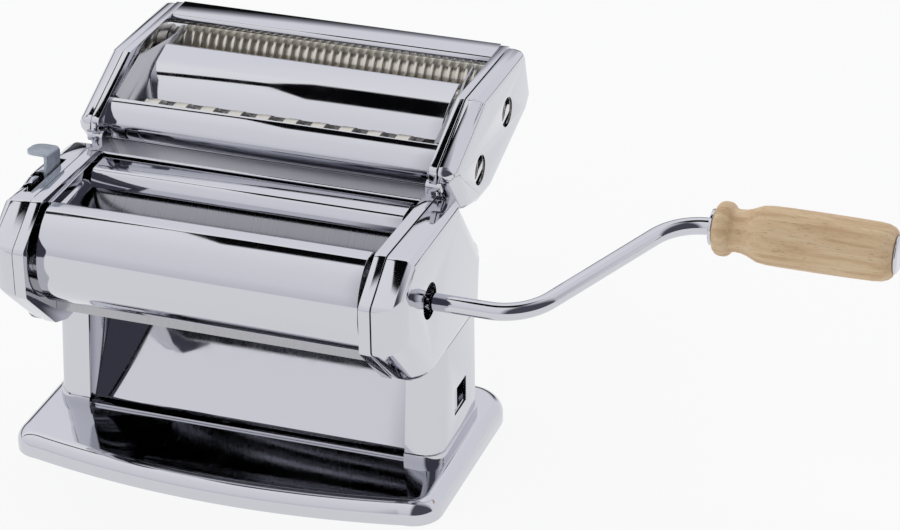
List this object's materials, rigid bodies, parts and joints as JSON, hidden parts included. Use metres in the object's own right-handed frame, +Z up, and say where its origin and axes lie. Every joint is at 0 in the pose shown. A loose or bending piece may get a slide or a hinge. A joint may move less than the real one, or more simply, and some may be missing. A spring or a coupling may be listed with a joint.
{
  "type": "pasta roller machine",
  "caption": "Hand-cranked pasta roller machine: smooth rollers in a chrome head on a stand, with a thickness lever and a lift-off cutter attachment for wide and narrow ribbons",
  "frame": {"origin": "on the surface that the feet stand on, under the middle of the whole machine from the lever side to the end of the crank handle and from the front cover to the rear of the cutter; the middle of the base plate lies 87.2 mm to -X and 26.961 mm to -Y of it", "axes": "+X towards the crank, along the rollers; +Y towards the rear, where the cutter is; +Z up"},
  "size_m": [0.3744, 0.188, 0.1551],
  "materials": {
    "chrome": "polished chrome plate",
    "steel": "ground nickel-plated steel",
    "zinc": "zinc-plated sheet",
    "bronze": "plain bearing bronze",
    "rubber": "moulded",
    "beech": "turned beech, waxed"
  },
  "bodies": {
    "frame": {"base_plate": "chrome", "foot_front_left": "rubber", "foot_rear_left": "rubber", "foot_front_right": "rubber", "foot_rear_right": "rubber", "left_stand": "chrome", "right_stand": "chrome", "left_side_plate": "chrome", "right_side_plate": "chrome", "left_end_cover": "chrome", "right_end_cover": "chrome", "front_cover": "chrome", "rear_cover": "chrome", "left_hopper_guide": "chrome", "right_hopper_guide": "chrome", "chute_panel": "chrome", "front_scraper": "steel", "rear_scraper": "steel", "front_tie": "steel", "rear_tie": "steel", "drive_bush_left": "bronze", "drive_bush_right": "bronze", "lever_stud": "steel"},
    "drive": {"drive_roller": "steel", "drive_gear": "steel"},
    "crank": {"crank_rod": "chrome", "handle_washer": "chrome", "handle_cap": "chrome"},
    "grip": {"handle_grip": "beech"},
    "lever": {"thickness_lever": "zinc"},
    "eccentrics": {"left_eccentric": "steel", "right_eccentric": "steel"},
    "carriage": {"roller_bush_left": "bronze", "roller_bush_right": "bronze"},
    "adjustable": {"adjustable_roller": "steel", "adjustable_gear": "steel"},
    "cutter": {"cutter_left_plate": "chrome", "cutter_right_plate": "chrome", "cutter_left_cover": "chrome", "cutter_right_cover": "chrome", "cutter_front_plate": "chrome", "cutter_middle_plate": "chrome", "cutter_rear_plate": "chrome", "cutter_hanger": "chrome", "wide_comb": "steel", "narrow_comb": "steel"},
    "wide_drive": {"wide_drive_drum": "steel", "wide_drive_gear": "steel"},
    "wide_second": {"wide_second_drum": "steel", "wide_second_gear": "steel"},
    "narrow_drive": {"narrow_drive_drum": "steel", "narrow_drive_gear": "steel"},
    "narrow_second": {"narrow_second_drum": "steel", "narrow_second_gear": "steel"}
  },
  "joints": [
    {"name": "drive_turn", "type": "hinge", "parent": "frame", "child": "drive", "pos_m": [-0.0872, -0.05736, 0.1013], "axis": [1, 0, 0], "continuous": true},
    {"name": "crank_pull", "type": "slide", "parent": "drive", "child": "crank", "axis": [1, 0, 0], "range_m": [0, 0.03]},
    {"name": "grip_turn", "type": "hinge", "parent": "crank", "child": "grip", "pos_m": [0.1128, 0.02103, 0.1133], "axis": [1, 0, 0], "continuous": true},
    {"name": "lever_swing", "type": "hinge", "parent": "frame", "child": "lever", "pos_m": [-0.1722, -0.04746, 0.082], "axis": [1, 0, 0], "range_deg": [-2.5, 20]},
    {"name": "eccentric_turn", "type": "hinge", "parent": "frame", "child": "eccentrics", "pos_m": [-0.0872, -0.02373, 0.10624], "axis": [1, 0, 0], "range_deg": [-20, 2.5]},
    {"name": "roller_shift", "type": "slide", "parent": "frame", "child": "carriage", "axis": [0, 1, 0], "range_m": [-0.00173, 0.00021]},
    {"name": "adjustable_turn", "type": "hinge", "parent": "carriage", "child": "adjustable", "pos_m": [-0.0872, -0.02296, 0.1013], "axis": [1, 0, 0], "continuous": true},
    {"name": "cutter_lift", "type": "slide", "parent": "frame", "child": "cutter", "axis": [0, 0, 1], "range_m": [0, 0.05]},
    {"name": "wide_turn", "type": "hinge", "parent": "cutter", "child": "wide_drive", "pos_m": [-0.0872, 0.02202, 0.12355], "axis": [1, 0, 0], "continuous": true},
    {"name": "wide_follow", "type": "hinge", "parent": "cutter", "child": "wide_second", "pos_m": [-0.0872, 0.00707, 0.13205], "axis": [1, 0, 0], "continuous": true},
    {"name": "narrow_turn", "type": "hinge", "parent": "cutter", "child": "narrow_drive", "pos_m": [-0.0872, 0.05905, 0.13445], "axis": [1, 0, 0], "continuous": true},
    {"name": "narrow_follow", "type": "hinge", "parent": "cutter", "child": "narrow_second", "pos_m": [-0.0872, 0.07555, 0.13931], "axis": [1, 0, 0], "continuous": true}
  ],
  "couplings": [
    {"joint": "adjustable_turn", "follows": "drive_turn", "ratio": -1},
    {"joint": "eccentric_turn", "follows": "roller_shift", "rad_per_m": 201.2},
    {"joint": "lever_swing", "follows": "roller_shift", "rad_per_m": -201.2},
    {"joint": "wide_follow", "follows": "wide_turn", "ratio": -1},
    {"joint": "narrow_follow", "follows": "narrow_turn", "ratio": -1}
  ]
}
